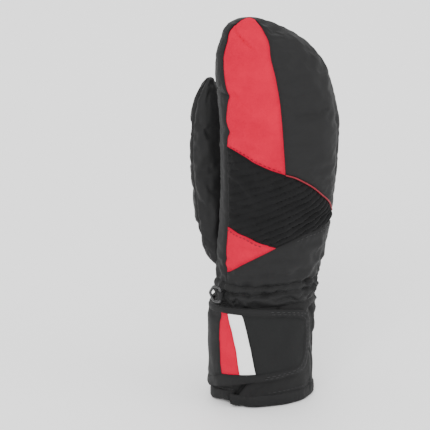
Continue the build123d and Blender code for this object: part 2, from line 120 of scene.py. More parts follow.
class Surface:
    """Stack of superellipses; u in degrees, s in mm along the meridian."""
    def __init__(self, rows, dome, arc, n=2.15, perim=0.66):
        rows = np.array(rows, float)
        self.z0, self.top, self.dome, self.arc = rows[0, 0], rows[-1, 0], dome, arc
        self.zz = np.concatenate([np.arange(self.z0, dome, 0.5),
                                  dome + (self.top - dome) * np.sin(np.radians(np.linspace(0, 90, 400)))])
        self.cols = [pchip(rows[:, 0], rows[:, k], self.zz) for k in range(1, 5)]
        self.n, self.perim = n, perim
        self.disp = None
        self.extra = None

    def z_of(self, s):
        s = np.asarray(s, float)
        th = np.clip((s - self.dome) / self.arc, 0, 1) * (math.pi / 2)
        return np.where(s < self.dome, s, self.dome + (self.top - self.dome) * np.sin(th))

    def s_of(self, z):
        z = np.asarray(z, float)
        f = np.clip((z - self.dome) / (self.top - self.dome), 0, 1)
        return np.where(z < self.dome, z, self.dome + self.arc * np.arcsin(f) * 2 / math.pi)

    @property
    def s1(self):
        return self.dome + self.arc

    def base(self, u, s):
        z = self.z_of(s)
        cx, cy, a, b = [np.interp(z, self.zz, c) for c in self.cols]
        r = np.radians(u)
        c, d = np.cos(r), np.sin(r)
        e = 2 / self.n
        x = cx + a * np.sign(c) * np.abs(c) ** e
        y = cy + b * np.sign(d) * np.abs(d) ** e
        return np.stack([x + OX, y + OY, z], -1)

    def base_normal(self, u, s):
        du, ds = 0.8, 0.6
        s_lo, s_hi = np.clip(s - ds, self.z0, self.s1 - 0.2), np.clip(s + ds, self.z0 + 0.4, self.s1)
        a = self.base(u + du, s) - self.base(u - du, s)
        b = self.base(u, s_hi) - self.base(u, s_lo)
        n = np.cross(a, b)
        l = np.linalg.norm(n, axis=-1, keepdims=True)
        return n / np.maximum(l, 1e-9)

    def point(self, u, s, off=0.0, disp=1.0):
        """Point on the dressed surface: sewn shape, simulated puff, creases, and an offset (mm)."""
        u = np.asarray(u, float); s = np.asarray(s, float)
        p = self.base(u, s)
        n = self.base_normal(u, s)
        fade = (1 - sstep(self.s1 - 9, self.s1 - 2, s))[..., None]
        if self.disp is not None:
            p = p + disp * fade * sample(self.disp, u, s, self.z0, self.s1)
        d = np.zeros(u.shape)
        if self.extra is not None:
            d = d + disp * self.extra(u, s) * fade[..., 0]
        return p + n * (d + off)[..., None], n


def sample(grid, u, s, s0, s1):
    nu, ns = grid.shape[:2]
    x = (np.asarray(u, float) % 360) / 360 * nu
    y = np.clip((np.asarray(s, float) - s0) / (s1 - s0), 0, 1) * (ns - 1)
    i = np.floor(x).astype(int) % nu; j = np.clip(np.floor(y).astype(int), 0, ns - 2)
    fx = (x - np.floor(x))[..., None]; fy = (y - j)[..., None]
    k = (i + 1) % nu
    return ((grid[i, j] * (1 - fx) + grid[k, j] * fx) * (1 - fy)
            + (grid[i, j + 1] * (1 - fx) + grid[k, j + 1] * fx) * fy)


B = Surface(BODY, 245.0, 58.0, n=2.15, perim=0.66)
T = Surface(THUMB, 206.0, 33.0, n=2.05, perim=0.27)

def smooth_line(line, k=6):
    """Catmull-Rom through open control points."""
    P = np.array(line, float)
    P = np.vstack([2 * P[0] - P[1], P, 2 * P[-1] - P[-2]])
    out = []
    for i in range(1, len(P) - 2):
        for t in np.arange(k) / k:
            a, b, c, d = P[i - 1], P[i], P[i + 1], P[i + 2]
            out.append(tuple(0.5 * (2 * b + (c - a) * t + (2 * a - 5 * b + 4 * c - d) * t**2 + (3 * b - a - 3 * c + d) * t**3)))
    out.append(tuple(P[-2]))
    return out


# ---------------------------------------------------------------- seam lines (u deg, z mm)
SEAM_L = [(207.0, 94), (202.0, 102.5), (199.0, 115), (197.5, 137), (195.5, 165), (194.0, 196.5),
          (197.5, 207.5), (194.5, 216), (200.0, 226), (204.5, 234), (202.5, 242), (200.5, 253),
          (201.0, 263.5), (205.0, 277), (214.0, 283.0), (222.0, 286.1)]
RED_R = [(303.0, 286.1), (298.0, 284.5), (280.0, 277.0), (268.5, 263), (265.5, 245), (264.3, 226), (263.3, 206.5),
         (265.4, 178.3)]
RED_B = [(265.4, 178.3), (254, 181.5), (241.2, 185.5), (232, 188.3), (223.1, 191.5), (208, 195.0), (194.0, 196.5)]
PIPE = [(265.4, 178.3), (273, 175.6), (281.2, 172.0), (294, 166.0), (306.6, 159.2), (322, 152.0), (336.9, 145.0), (351, 139.5)]
WEDGE_T = [(197.5, 137), (205, 135.8), (214.5, 134), (227, 132.4), (239.5, 129.6), (251, 126.6), (262, 123.5)]
WEDGE_B = [(262, 123.5), (248, 118.6), (233.6, 113.2), (217.9, 107.2), (209, 104.0), (202.0, 102.5)]
RIB_B = [(262, 123.5), (278, 128.6), (291.7, 131.5), (318, 133.2), (342.6, 134.2), (351, 134.4)]
SEAM_L = smooth_line(SEAM_L, 4)
RED_R = smooth_line(RED_R, 4)
RED_B = smooth_line(RED_B, 3)
PIPE = smooth_line(PIPE, 4)
PINK_B = 351.0          # back seam of the little finger gusset
PALM_P = 12.0           # palm seam, little finger side
PALM_I = 166.0          # palm seam, thumb side
Z_G0, Z_G1 = 78.0, 94.0

TIP_ARC = [(PALM_P, 231.0), (14, 245), (22, 255.5), (38, 264.0), (62, 269.0), (88, 270.5), (112, 268.5),
           (134, 262.5), (149, 254), (157, 245), (159.0, 236.0)]
FLEX_T = [(PALM_P, 231.0), (50, 232.4), (90, 234.2), (130, 235.6), (159.0, 236.0)]
FLEX_TW = FLEX_T + [(PALM_I, 236.2)]
FLEX_B = [(PALM_P, 209.0), (50, 210.6), (90, 214.0), (130, 216.2), (PALM_I, 216.8)]
MID_B = [(PALM_P, 178.8), (45, 180.5), (75, 183.6), (100, 186.6), (130, 188.0), (PALM_I, 188.5)]
MAIN_B = [(PALM_P, 121.5), (30, 121.8), (55, 125.5), (80, 133.0), (100, 143.0), (118, 155.0), (140, 163), (PALM_I, 166)]


# ---------------------------------------------------------------- creases and ribs
N1, N2, N3 = Noise(11), Noise(23), Noise(37)


def wd(u):
    return (np.asarray(u, float) % 360) * 0.66


def tri(x):
    return 2 * np.abs(2 * (x - np.floor(x + 0.5))) - 1


def slit_u(z):
    """Where the overlapping edge of the cuff's slit runs."""
    return 219.0 + 1.15 * z


def over(u, s):
    """The upper side of the slit stands off the cuff near its edge."""
    z = B.z_of(s)
    q = np.maximum((u - slit_u(z)) * 0.66, 0)
    return 2.3 * np.exp(-(q / 10.0) ** 1.4) * (1 - sstep(14, 30, z))


def under(u, s):
    z = B.z_of(s)
    q = np.minimum((u - slit_u(z)) * 0.66, 0)
    return -1.5 * np.exp(q / 6.0) * (1 - sstep(14, 30, z))


def lobe_lift(u, s):
    """The lower lobe of the slit is drawn up a little."""
    z = B.z_of(s)
    return 3.0 * sstep(176, 206, u) * (1 - sstep(1, 24, z))


def body_extra(u, s):
    z = B.z_of(s)
    uu = np.asarray(u, float) % 360
    w = wd(u)
    d = np.zeros(np.broadcast(uu, z).shape)
    # soft unevenness of stuffed fabric
    calm = 1 - 0.75 * sstep(248, 268, z)
    d = d + calm * (0.55 * N1(uu / 22.5, z / 17.0, 16) + 0.16 * N2(uu / 11.25, z / 8.0, 32))
    # gathers at the wrist: zigzag creases between puffs, round the back and both sides
    around = sstep(150, 178, uu) + (uu < 60) * sstep(45, 18, uu)
    around = np.clip(around, 0.12, 1)
    jit = 1.6 * N2(w / 9.0, z * 0 + 3.3) + 0.7 * N3(w / 4.0, z / 6.0)
    ph = w / 12.4 + 0.10 + 0.42 * N1(w / 14.0, z * 0 + 2.1)
    zc = 87.4 + 2.3 * (0.6 * tri(ph) + 0.4 * np.cos(2 * math.pi * ph)) * (1 + 0.55 * N3(w / 11.0, z * 0 + 4.4)) + jit
    zc2 = 82.0 + 1.3 * np.cos(2 * math.pi * (w / 10.3 + 0.5 * N2(w / 16.0, z * 0 + 8.8))) + 0.8 * jit
    zc3 = 92.0 + 1.6 * tri(ph * 0.93 + 0.45) + 1.2 * jit
    amp = 0.75 + 0.35 * N3(w / 13.0, z * 0 + 9.1)
    g = -3.4 * amp * np.exp(-((z - zc) / 1.5) ** 2)
    g = g - 2.0 * np.clip(0.5 + 0.9 * N1(w / 9.0, z * 0 + 5.5), 0, 1.2) * np.exp(-((z - zc2) / 1.3) ** 2)
    g = g - 2.0 * np.clip(0.4 + 1.0 * N2(w / 12.0, z * 0 + 7.7), 0, 1.3) * np.exp(-((z - zc3) / 1.5) ** 2)
    g = g + 1.6 * np.exp(-((z - 84.4) / 3.4) ** 2) + 1.3 * np.exp(-((z - 91.0) / 2.8) ** 2)
    g = g + 1.1 * N3(w / 6.5 + 11, z / 4.2)
    # folds that run up from the gathers and die out on the back panel
    fold = np.cos(2 * math.pi * (w / 11.6 + 0.10 + 0.16 * N1(w / 20, z / 9)))
    g = g + 0.9 * fold * sstep(86, 93, z) * (1 - sstep(96, 113, z)) * (0.6 + 0.6 * N2(w / 17.0, z * 0 + 1.2))
    g = g * sstep(77.3, 79.6, z) * (1 - sstep(110, 118, z))
    d = d + around * g
    # pinched seam of the red panel over the finger joint
    for pu, pz, k in ((205.5, 233.5, 1.6), (198.5, 207.0, 1.1)):
        rr = np.sqrt(((uu - pu) * 0.66 / 7.5) ** 2 + ((z - pz) / 2.6) ** 2)
        d = d - k * np.exp(-rr**2)
    d = d + 0.8 * np.exp(-(((uu - 222) * 0.66 - (z - 231) * 0.9) / 3.2) ** 2) * np.exp(-((z - 228) / 9.0) ** 2)
    d = d - 0.9 * np.exp(-(((uu - 215) * 0.66 + (z - 236) * 1.2) / 1.9) ** 2) * np.exp(-((z - 230) / 8.0) ** 2)
    # diagonal crease near the tip of the red panel
    x = (uu - 240.0) * 0.52
    line = (z - 272.5) + 0.95 * x
    d = d - 1.25 * np.exp(-(line / 1.3) ** 2) * np.exp(-((x - 0.0) / 9.0) ** 2) * sstep(255, 262, z)
    d = d + 0.6 * np.exp(-((line - 3.4) / 2.2) ** 2) * np.exp(-((x - 0.0) / 10.0) ** 2) * sstep(255, 262, z)
    # soft crease on the little finger side
    d = d - 1.1 * np.exp(-(((uu - 333) * 0.66 + (z - 200) * 0.10) / 2.6) ** 2) * sstep(150, 180, z) * (1 - sstep(212, 236, z))
    # palm crease
    zc = np.interp(uu, [12, 45, 75, 100, 130, 166], [178.8, 180.5, 183.6, 186.6, 188, 188.5])
    palm = sstep(8, 20, uu) * (1 - sstep(158, 172, uu))
    d = d - 2.2 * palm * np.exp(-((z - zc) / 1.5) ** 2) + 0.9 * palm * np.exp(-((z - zc - 4.2) / 3.0) ** 2)
    # cuff: long soft folds, creases, and the pleat by the slit
    cz = 1 - sstep(66, 76, z)
    d = d + cz * (0.9 * N1(uu / 22.5 + 3, z / 26.0 + 7, 16) + 0.35 * N3(uu / 11.25, z / 12.0 + 2, 32))
    d = d - 1.7 * cz * np.exp(-(((uu - 331) * 0.66 + (z - 40) * 0.14) / 2.6) ** 2) * sstep(6, 24, z)
    d = d - 1.3 * cz * np.exp(-(((uu - 316) * 0.66 - (z - 50) * 0.22) / 2.2) ** 2) * sstep(20, 40, z)
    q2 = (uu - slit_u(z) - 15 - z * 0.2) * 0.66
    d = d - 1.0 * np.exp(-(q2 / 2.4) ** 2) * (1 - sstep(14, 26, z))
    return d


def ribs(u, s):
    """Stitched ribs of the knuckle panel, a fan that closes towards the little finger."""
    z = B.z_of(s)
    w = (np.asarray(u, float) - 195.0) * 0.66
    zl = (z - 270.0 * w / 320.0) / (1 - w / 320.0)
    ph = (zl - 101.0) / 5.9 + 0.10 * N1(w / 14.0, z / 11.0) + 0.05 * N2(w / 5.0, z / 5.0)
    k = np.abs(np.sin(math.pi * ph))
    amp = 1.15 + 1.0 * sstep(5, 62, w)
    return amp * (k ** 0.55 - 0.85)


def thumb_extra(u, s):
    z = T.z_of(s)
    uu = np.asarray(u, float) % 360
    d = 0.40 * N1(uu / 22.5 + 5, z / 14.0 + 4, 16) + 0.18 * N2(uu / 11.25, z / 7.0 + 9, 32)
    d = d - 0.7 * np.exp(-(((uu - 250) * 0.27 - (z - 150) * 0.16) / 1.8) ** 2) * sstep(118, 140, z) * (1 - sstep(165, 185, z))
    d = d - 0.6 * np.exp(-((z - 168 + (uu - 200) * 0.06) / 2.4) ** 2) * np.exp(-((uu - 275) / 55.0) ** 2)
    return d


B.extra = body_extra
T.extra = thumb_extra


# ---------------------------------------------------------------- cloth simulation
def simulate(surf, nu, ns, pins, cap, swell, pressure, frames=22, name="sim"):
    """Blows the sewn shell up with cloth held at its seams; returns the displacement grid (mm)."""
    u = np.arange(nu) * 360.0 / nu
    s = np.linspace(surf.z0, surf.s1, ns)
    U, S = np.meshgrid(u, s, indexing="ij")
    p0 = surf.base(U, S)
    nrm = surf.base_normal(U, S)
    p = (p0 - nrm * 0.8).reshape(-1, 3) * 0.001
    faces = [(i * ns + j, ((i + 1) % nu) * ns + j, ((i + 1) % nu) * ns + j + 1, i * ns + j + 1)
             for i in range(nu) for j in range(ns - 1)]
    me = bpy.data.meshes.new(name)
    me.from_pydata([tuple(v) for v in p], [], faces)
    ob = bpy.data.objects.new(name, me)
    bpy.context.scene.collection.objects.link(ob)
    w = pins(U, S).reshape(-1)
    vg = ob.vertex_groups.new(name="pin")
    for lvl in np.unique(np.round(w, 1)):
        idx = np.nonzero(np.round(w, 1) == lvl)[0].tolist()
        if lvl > 0:
            vg.add(idx, float(lvl), "REPLACE")
    mod = ob.modifiers.new("cloth", "CLOTH")
    st = mod.settings
    st.quality = 6
    st.mass = 0.25
    st.tension_stiffness = 12
    st.compression_stiffness = 12
    st.shear_stiffness = 4
    st.bending_stiffness = 0.35
    st.air_damping = 4
    st.use_pressure = True
    st.uniform_pressure_force = pressure
    st.shrink_min = -swell
    st.vertex_group_mass = "pin"
    st.pin_stiffness = 2.0
    st.effector_weights.gravity = 0
    mod.collision_settings.use_collision = False
    sc = bpy.context.scene
    old = sc.frame_current
    mod.point_cache.frame_start, mod.point_cache.frame_end = 1, frames
    for f in range(1, frames + 1):
        sc.frame_set(f)
    dg = bpy.context.evaluated_depsgraph_get()
    ev = ob.evaluated_get(dg).to_mesh()
    co = np.zeros(len(ev.vertices) * 3, np.float32)
    ev.vertices.foreach_get("co", co)
    d = co.reshape(nu, ns, 3).astype(float) * 1000 - p0
    ob.evaluated_get(dg).to_mesh_clear()
    sc.frame_set(old)
    bpy.data.objects.remove(ob)
    bpy.data.meshes.remove(me)
    l = np.linalg.norm(d, axis=-1, keepdims=True)
    d = d * np.minimum(1, cap / np.maximum(l, 1e-6))
    print("cloth", name, "mean", round(float(l.mean()), 2), "max", round(float(l.max()), 2), flush=True)
    return d


def near_line(U, S, line, surf, r):
    pts = np.array([(a * surf.perim, float(surf.s_of(z))) for a, z in line])
    X = np.stack([U * surf.perim, S], -1)
    best = np.full(U.shape, 1e9)
    for a, b in zip(pts[:-1], pts[1:]):
        ab = b - a
        t = np.clip(((X - a) @ ab) / max(ab @ ab, 1e-9), 0, 1)
        q = X - (a + t[..., None] * ab)
        best = np.minimum(best, np.sqrt((q**2).sum(-1)))
    return np.clip(1 - best / r, 0, 1)


def body_pins(U, S):
    w = np.zeros(U.shape)
    for line in (SEAM_L, RED_R, RED_B, PIPE, WEDGE_B, RIB_B, FLEX_T, FLEX_B, MID_B, MAIN_B, TIP_ARC):
        w = np.maximum(w, near_line(U, S, line, B, 5.0))
    for uu in (PINK_B, PALM_P, PALM_I):
        w = np.maximum(w, np.clip(1 - np.abs(U - uu) * 0.66 / 4.5, 0, 1) * (S > 90))
    w = np.maximum(w, np.clip(1 - np.abs(S - 79) / 5.0, 0, 1))
    w = np.maximum(w, np.clip(1 - np.abs(S - 92) / 5.0, 0, 1) * 0.6)
    w = np.maximum(w, np.clip(1 - S / 10.0, 0, 1))
    w = np.maximum(w, np.clip((S - (B.s1 - 8)) / 5, 0, 1))
    return w


def thumb_pins(U, S):
    w = np.clip(1 - (S - 96) / 22.0, 0, 1)
    w = np.maximum(w, np.clip(1 - np.abs(((U - 15 + 180) % 360) - 180) * 0.27 / 3.5, 0, 1))
    w = np.maximum(w, np.clip(1 - np.abs(((U - 195 + 180) % 360) - 180) * 0.27 / 3.5, 0, 1))
    return np.maximum(w, np.clip((S - (T.s1 - 6)) / 4, 0, 1))


B.disp = simulate(B, 120, 112, body_pins, 4.0, 0.035, 2.6, name="hand_cloth")
T.disp = simulate(T, 56, 52, thumb_pins, 2.2, 0.03, 2.4, name="thumb_cloth")

# the strap area of the cuff lies flatter
if B.disp is not None:
    nu_, ns_ = B.disp.shape[:2]
    uu_ = np.arange(nu_)[:, None] * 360.0 / nu_
    zz_ = np.linspace(B.z0, B.s1, ns_)[None]
    m_ = (1 - sstep(80, 92, zz_)) * sstep(95, 110, uu_) * (1 - sstep(308, 322, uu_))
    B.disp = B.disp * (1 - 0.65 * m_)[..., None]
    edge_ = np.exp(-((((uu_ - 350 + 180) % 360) - 180) / 24.0) ** 2) + np.exp(-((uu_ - 180) / 22.0) ** 2)
    hand_ = sstep(98, 112, zz_) * np.clip(edge_, 0, 1)
    B.disp = B.disp * (1 - 0.55 * hand_)[..., None]


# ---------------------------------------------------------------- materials
# seam_groove_shade sets the painted shade: how much the base colour darkens in the seam grooves, read from the seam
# attribute
def material(name, color, rough=0.8, spec=0.35, sheen=0.0, weave=0.55, kind="weave", bump=0.25, vary=0.16,
             metallic=0.0, coat=0.0, seam_groove_shade=0.35, blotch=70.0):
    m = bpy.data.materials.new(name)
    m.use_nodes = True
    nt = m.node_tree
    bsdf = nt.nodes["Principled BSDF"]
    bsdf.inputs["Metallic"].default_value = metallic
    bsdf.inputs["Specular IOR Level"].default_value = spec
    bsdf.inputs["Sheen Weight"].default_value = sheen
    bsdf.inputs["Sheen Roughness"].default_value = 0.45
    bsdf.inputs["Coat Weight"].default_value = coat
    N = lambda t: nt.nodes.new(t)
    L = nt.links.new
    uv = N("ShaderNodeAttribute"); uv.attribute_name = "weave_uv"
    seam_shade_mask = N("ShaderNodeAttribute"); seam_shade_mask.attribute_name = "seam_shade_mask"
    co = N("ShaderNodeTexCoord")
    big = N("ShaderNodeTexNoise"); big.inputs["Scale"].default_value = blotch
    big.inputs["Detail"].default_value = 4
    L(co.outputs["Object"], big.inputs["Vector"])
    ramp = N("ShaderNodeMapRange")
    ramp.inputs["From Min"].default_value, ramp.inputs["From Max"].default_value = 0.3, 0.7
    ramp.inputs["To Min"].default_value, ramp.inputs["To Max"].default_value = 1 - vary, 1 + vary
    L(big.outputs["Fac"], ramp.inputs["Value"])
    # painted shade: the base colour is darkened along the seam grooves, where the rolled panel edges dip in
    groove_shade_node = N("ShaderNodeMath"); groove_shade_node.operation = "MULTIPLY_ADD"
    groove_shade_node.inputs[1].default_value, groove_shade_node.inputs[2].default_value = -seam_groove_shade, 1.0
    L(seam_shade_mask.outputs["Fac"], groove_shade_node.inputs[0])
    mul = N("ShaderNodeMath"); mul.operation = "MULTIPLY"
    L(ramp.outputs[0], mul.inputs[0]); L(groove_shade_node.outputs[0], mul.inputs[1])
    heights = []
    if kind in ("weave", "rib", "web"):
        a, b = N("ShaderNodeTexWave"), N("ShaderNodeTexWave")
        a.bands_direction, b.bands_direction = "X", "Y"
        for w in (a, b):
            w.inputs["Scale"].default_value = 0.314 / weave
            w.inputs["Distortion"].default_value = 0.6
            w.inputs["Detail"].default_value = 1
            L(uv.outputs["Vector"], w.inputs["Vector"])
        mx = N("ShaderNodeMath"); mx.operation = "MAXIMUM" if kind != "rib" else "ADD"
        L(a.outputs["Fac"], mx.inputs[0]); L(b.outputs["Fac"], mx.inputs[1])
        heights.append(mx.outputs[0])
    elif kind == "grain":
        v = N("ShaderNodeTexVoronoi"); v.feature = "DISTANCE_TO_EDGE"
        v.inputs["Scale"].default_value = 1.0 / weave
        L(uv.outputs["Vector"], v.inputs["Vector"])
        mr = N("ShaderNodeMapRange"); mr.inputs["From Max"].default_value = 0.25
        L(v.outputs["Distance"], mr.inputs["Value"])
        heights.append(mr.outputs[0])
    else:
        v = N("ShaderNodeTexNoise"); v.inputs["Scale"].default_value = 1.0 / weave
        v.inputs["Detail"].default_value = 6
        L(uv.outputs["Vector"], v.inputs["Vector"])
        heights.append(v.outputs["Fac"])
    fine = N("ShaderNodeMapRange")
    fine.inputs["To Min"].default_value, fine.inputs["To Max"].default_value = 1 - vary * 0.6, 1 + vary * 0.4
    L(heights[0], fine.inputs["Value"])
    mul2 = N("ShaderNodeMath"); mul2.operation = "MULTIPLY"
    L(mul.outputs[0], mul2.inputs[0]); L(fine.outputs[0], mul2.inputs[1])
    col = N("ShaderNodeVectorMath"); col.operation = "SCALE"
    col.inputs[0].default_value = color
    L(mul2.outputs[0], col.inputs["Scale"])
    L(col.outputs["Vector"], bsdf.inputs["Base Color"])
    rr = N("ShaderNodeMapRange")
    rr.inputs["To Min"].default_value, rr.inputs["To Max"].default_value = max(rough - 0.08, 0.05), min(rough + 0.08, 1)
    L(big.outputs["Fac"], rr.inputs["Value"]); L(rr.outputs[0], bsdf.inputs["Roughness"])
    bp = N("ShaderNodeBump"); bp.inputs["Strength"].default_value = bump
    bp.inputs["Distance"].default_value = 0.0003
    L(heights[0], bp.inputs["Height"]); L(bp.outputs[0], bsdf.inputs["Normal"])
    return m


BLK = (0.0068, 0.0068, 0.0071)
M = {
    "red_softshell": material("red_softshell", (0.50, 0.0015, 0.029), 0.92, 0.08, 0.0, 0.6, bump=0.2, vary=0.07, seam_groove_shade=0.18),
    "black_softshell": material("black_softshell", BLK, 0.72, 0.26, 0.03, 0.6, bump=0.25),
    "rib_knit": material("rib_knit", (0.0065, 0.0065, 0.0068), 0.85, 0.15, 0.02, 0.7, "rib", 0.35),
    "synthetic_leather_black": material("synthetic_leather_black", (0.0075, 0.0078, 0.0080), 0.7, 0.2, 0.0, 0.9, "grain", 0.3),
    "synthetic_leather_grey": material("synthetic_leather_grey", (0.022, 0.0222, 0.0215), 0.62, 0.3, 0.0, 0.9, "grain", 0.35),
    "stretch_knit": material("stretch_knit", (0.0085, 0.0085, 0.0088), 0.85, 0.15, 0.02, 0.8, "rib", 0.35),
    "piping_red": material("piping_red", (0.20, 0.002, 0.012), 0.5, 0.4, 0, 0.5, bump=0.2, vary=0.05),
    "wadding": material("wadding", (0.03, 0.03, 0.031), 0.95, 0.1, 0.2, 1.2, "fleece", 0.5),
    "membrane": material("membrane", (0.55, 0.56, 0.57), 0.5, 0.4, 0, 1.0, "fleece", 0.1),
    "lining": material("lining", (0.030, 0.030, 0.032), 0.95, 0.15, 0.35, 0.9, "fleece", 0.8),
    "cuff_fabric": material("cuff_fabric", (0.0062, 0.0062, 0.0064), 0.7, 0.22, 0.02, 0.6, bump=0.3),
    "binding_tape": material("binding_tape", (0.0075, 0.0075, 0.0078), 0.7, 0.22, 0.02, 0.8, "web", 0.4),
    "elastic": material("elastic", (0.02, 0.02, 0.021), 0.8, 0.2, 0.1, 1.0, "web", 0.5),
    "loop_fabric": material("loop_fabric", (0.014, 0.014, 0.015), 0.95, 0.1, 0.3, 0.7, "fleece", 0.9),
    "hook_tape": material("hook_tape", (0.012, 0.012, 0.013), 0.6, 0.4, 0, 0.9, "grain", 0.9),
    "light_stripe": material("light_stripe", (0.88, 0.88, 0.88), 0.45, 0.5, 0, 0.7, "grain", 0.12, vary=0.02, seam_groove_shade=0.06),
    "webbing": material("webbing", (0.008, 0.008, 0.0085), 0.7, 0.25, 0.02, 0.9, "web", 0.6),
    "clip_plastic": material("clip_plastic", (0.014, 0.014, 0.015), 0.38, 0.5, 0, 1.5, "fleece", 0.05, coat=0.2),
    "thread": material("thread", (0.017, 0.017, 0.018), 0.6, 0.4, 0, 0.3, "fleece", 0.2),
    "thread_red": material("thread_red", (0.16, 0.002, 0.010), 0.7, 0.2, 0, 0.3, "fleece", 0.2),
    "thread_grey": material("thread_grey", (0.10, 0.10, 0.105), 0.55, 0.4, 0, 0.3, "fleece", 0.2),
}


# ---------------------------------------------------------------- mesh helpers
def mesh_object(name, pts, faces, slot_name, uvw=None, seam_shade_mask=None, body=None, sharp=50, mat_name=None):
    me = bpy.data.meshes.new(name)
    me.from_pydata((np.asarray(pts, float) * 0.001).tolist(), [], [tuple(int(i) for i in f) for f in faces])
    me.validate()
    for p in me.polygons:
        p.use_smooth = True
    me.set_sharp_from_angle(angle=math.radians(sharp))
    n = len(me.vertices)
    a = me.attributes.new("weave_uv", "FLOAT_VECTOR", "POINT")
    v = np.asarray(pts if uvw is None else uvw, np.float32)
    if v.shape[1] == 2:
        v = np.concatenate([v, np.zeros((len(v), 1), np.float32)], 1)
    a.data.foreach_set("vector", v[:n].reshape(-1))
    # mask for the painted seam-groove shade, 1 at the panel edge
    b = me.attributes.new("seam_shade_mask", "FLOAT", "POINT")
    b.data.foreach_set("value", (np.zeros(n) if seam_shade_mask is None else np.asarray(seam_shade_mask)[:n]).astype(np.float32))
    me.materials.append(M[mat_name or slot_name])
    ob = bpy.data.objects.new(name, me)
    bpy.context.scene.collection.objects.link(ob)
    if body == "finger":
        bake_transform(ob)
    elif body == "thumb":
        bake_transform(ob)
    elif body == "strap":
        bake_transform(ob)
    elif body is not None:
        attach(ob, body)
    return ob


def dense(line, surf, step=1.5, closed=False):
    """Polyline in (u, z) -> points in (u, s), spaced step mm."""
    pts = [(float(a), float(surf.s_of(z))) for a, z in line]
    if closed:
        pts.append(pts[0])
    out = []
    for (a, b), (c, d) in zip(pts[:-1], pts[1:]):
        n = max(1, int(math.ceil(math.hypot((c - a) * surf.perim, d - b) / step)))
        out += [(a + (c - a) * i / n, b + (d - b) * i / n) for i in range(n)]
    if not closed:
        out.append(pts[-1])
    return np.array(out)


def inside(poly, X):
    x, y = X[:, 0], X[:, 1]
    r = np.zeros(len(X), bool)
    a, b = poly, np.roll(poly, -1, 0)
    for (x1, y1), (x2, y2) in zip(a, b):
        if y1 == y2:
            continue
        c = ((y1 > y) != (y2 > y)) & (x < (x2 - x1) * (y - y1) / (y2 - y1) + x1)
        r ^= c
    return r


def seg_dist(poly, X, closed=True):
    best = np.full(len(X), 1e9)
    ends = np.roll(poly, -1, 0) if closed else poly[1:]
    for a, b in zip(poly if closed else poly[:-1], ends):
        ab = b - a
        t = np.clip(((X - a) @ ab) / max(ab @ ab, 1e-9), 0, 1)
        q = X - (a + t[:, None] * ab)
        best = np.minimum(best, (q**2).sum(1))
    return np.sqrt(best)


def panel(name, outline, slot_name, surf=None, body=HAND, step=1.7, off=0.0, thick=1.3, roll=1.15, roll_w=1.6,
          detail=None, bstep=1.5, sharp=50, mat_name=None, dispk=1.0, lift=None, keep_edge=False):
    surf = surf or B
    bd = dense(outline, surf, bstep, closed=True)
    poly = bd * [surf.perim, 1]
    lo, hi = poly.min(0), poly.max(0)
    gx, gy = np.arange(lo[0], hi[0], step), np.arange(lo[1], hi[1], step)
    GX, GY = np.meshgrid(gx, gy)
    GX = GX + (np.arange(len(gy)) % 2)[:, None] * step * 0.5
    G = np.stack([GX.ravel(), GY.ravel()], 1)
    G = G[inside(poly, G)]
    if len(G):
        G = G[seg_dist(poly, G) > 0.55 * min(step, bstep)]
    allp = np.vstack([poly, G])
    nb = len(poly)
    res = delaunay_2d_cdt([Vector(p) for p in allp], [], [list(range(nb))], 1, 1e-5)
    V = np.array([tuple(v) for v in res[0]])
    F = [tuple(f) for f in res[2]]
    tri = []
    for f in F:
        a, b, c = V[f[0]], V[f[1]], V[f[2]]
        cr = (b[0] - a[0]) * (c[1] - a[1]) - (b[1] - a[1]) * (c[0] - a[0])
        if abs(cr) > 1e-9:
            tri.append(f if cr > 0 else f[::-1])
    used = np.unique(np.array(tri))
    remap = -np.ones(len(V), int); remap[used] = np.arange(len(used))
    V = V[used]
    tri = [tuple(remap[i] for i in f) for f in tri]
    d = seg_dist(poly, V)
    u, s = V[:, 0] / surf.perim, V[:, 1]
    h = off - roll * np.exp(-(d / roll_w) ** 2)
    if detail is not None:
        h = h + detail(u, s) * (1 if keep_edge else np.clip(d / 2.0, 0, 1))
    top, n = surf.point(u, s, h, dispk)
    if lift is not None:
        top[:, 2] += lift(u, s)
    low = top - n * thick
    nv = len(V)
    edges = {}
    for f in tri:
        for i in range(3):
            edges[(f[i], f[(i + 1) % 3])] = 1
    rim = [e for e in edges if (e[1], e[0]) not in edges]
    faces = list(tri) + [(a + nv, c + nv, b + nv) for a, b, c in tri] + [(b, a, a + nv, b + nv) for a, b in rim]
    # painted shade mask: 1 along the panel edges, where the seam grooves dip in
    seam_shade_mask = np.exp(-(d / 1.5) ** 2)
    return mesh_object(name, np.vstack([top, low]), faces, slot_name, np.vstack([V, V]),
                       np.concatenate([seam_shade_mask, seam_shade_mask]), body, sharp, mat_name)


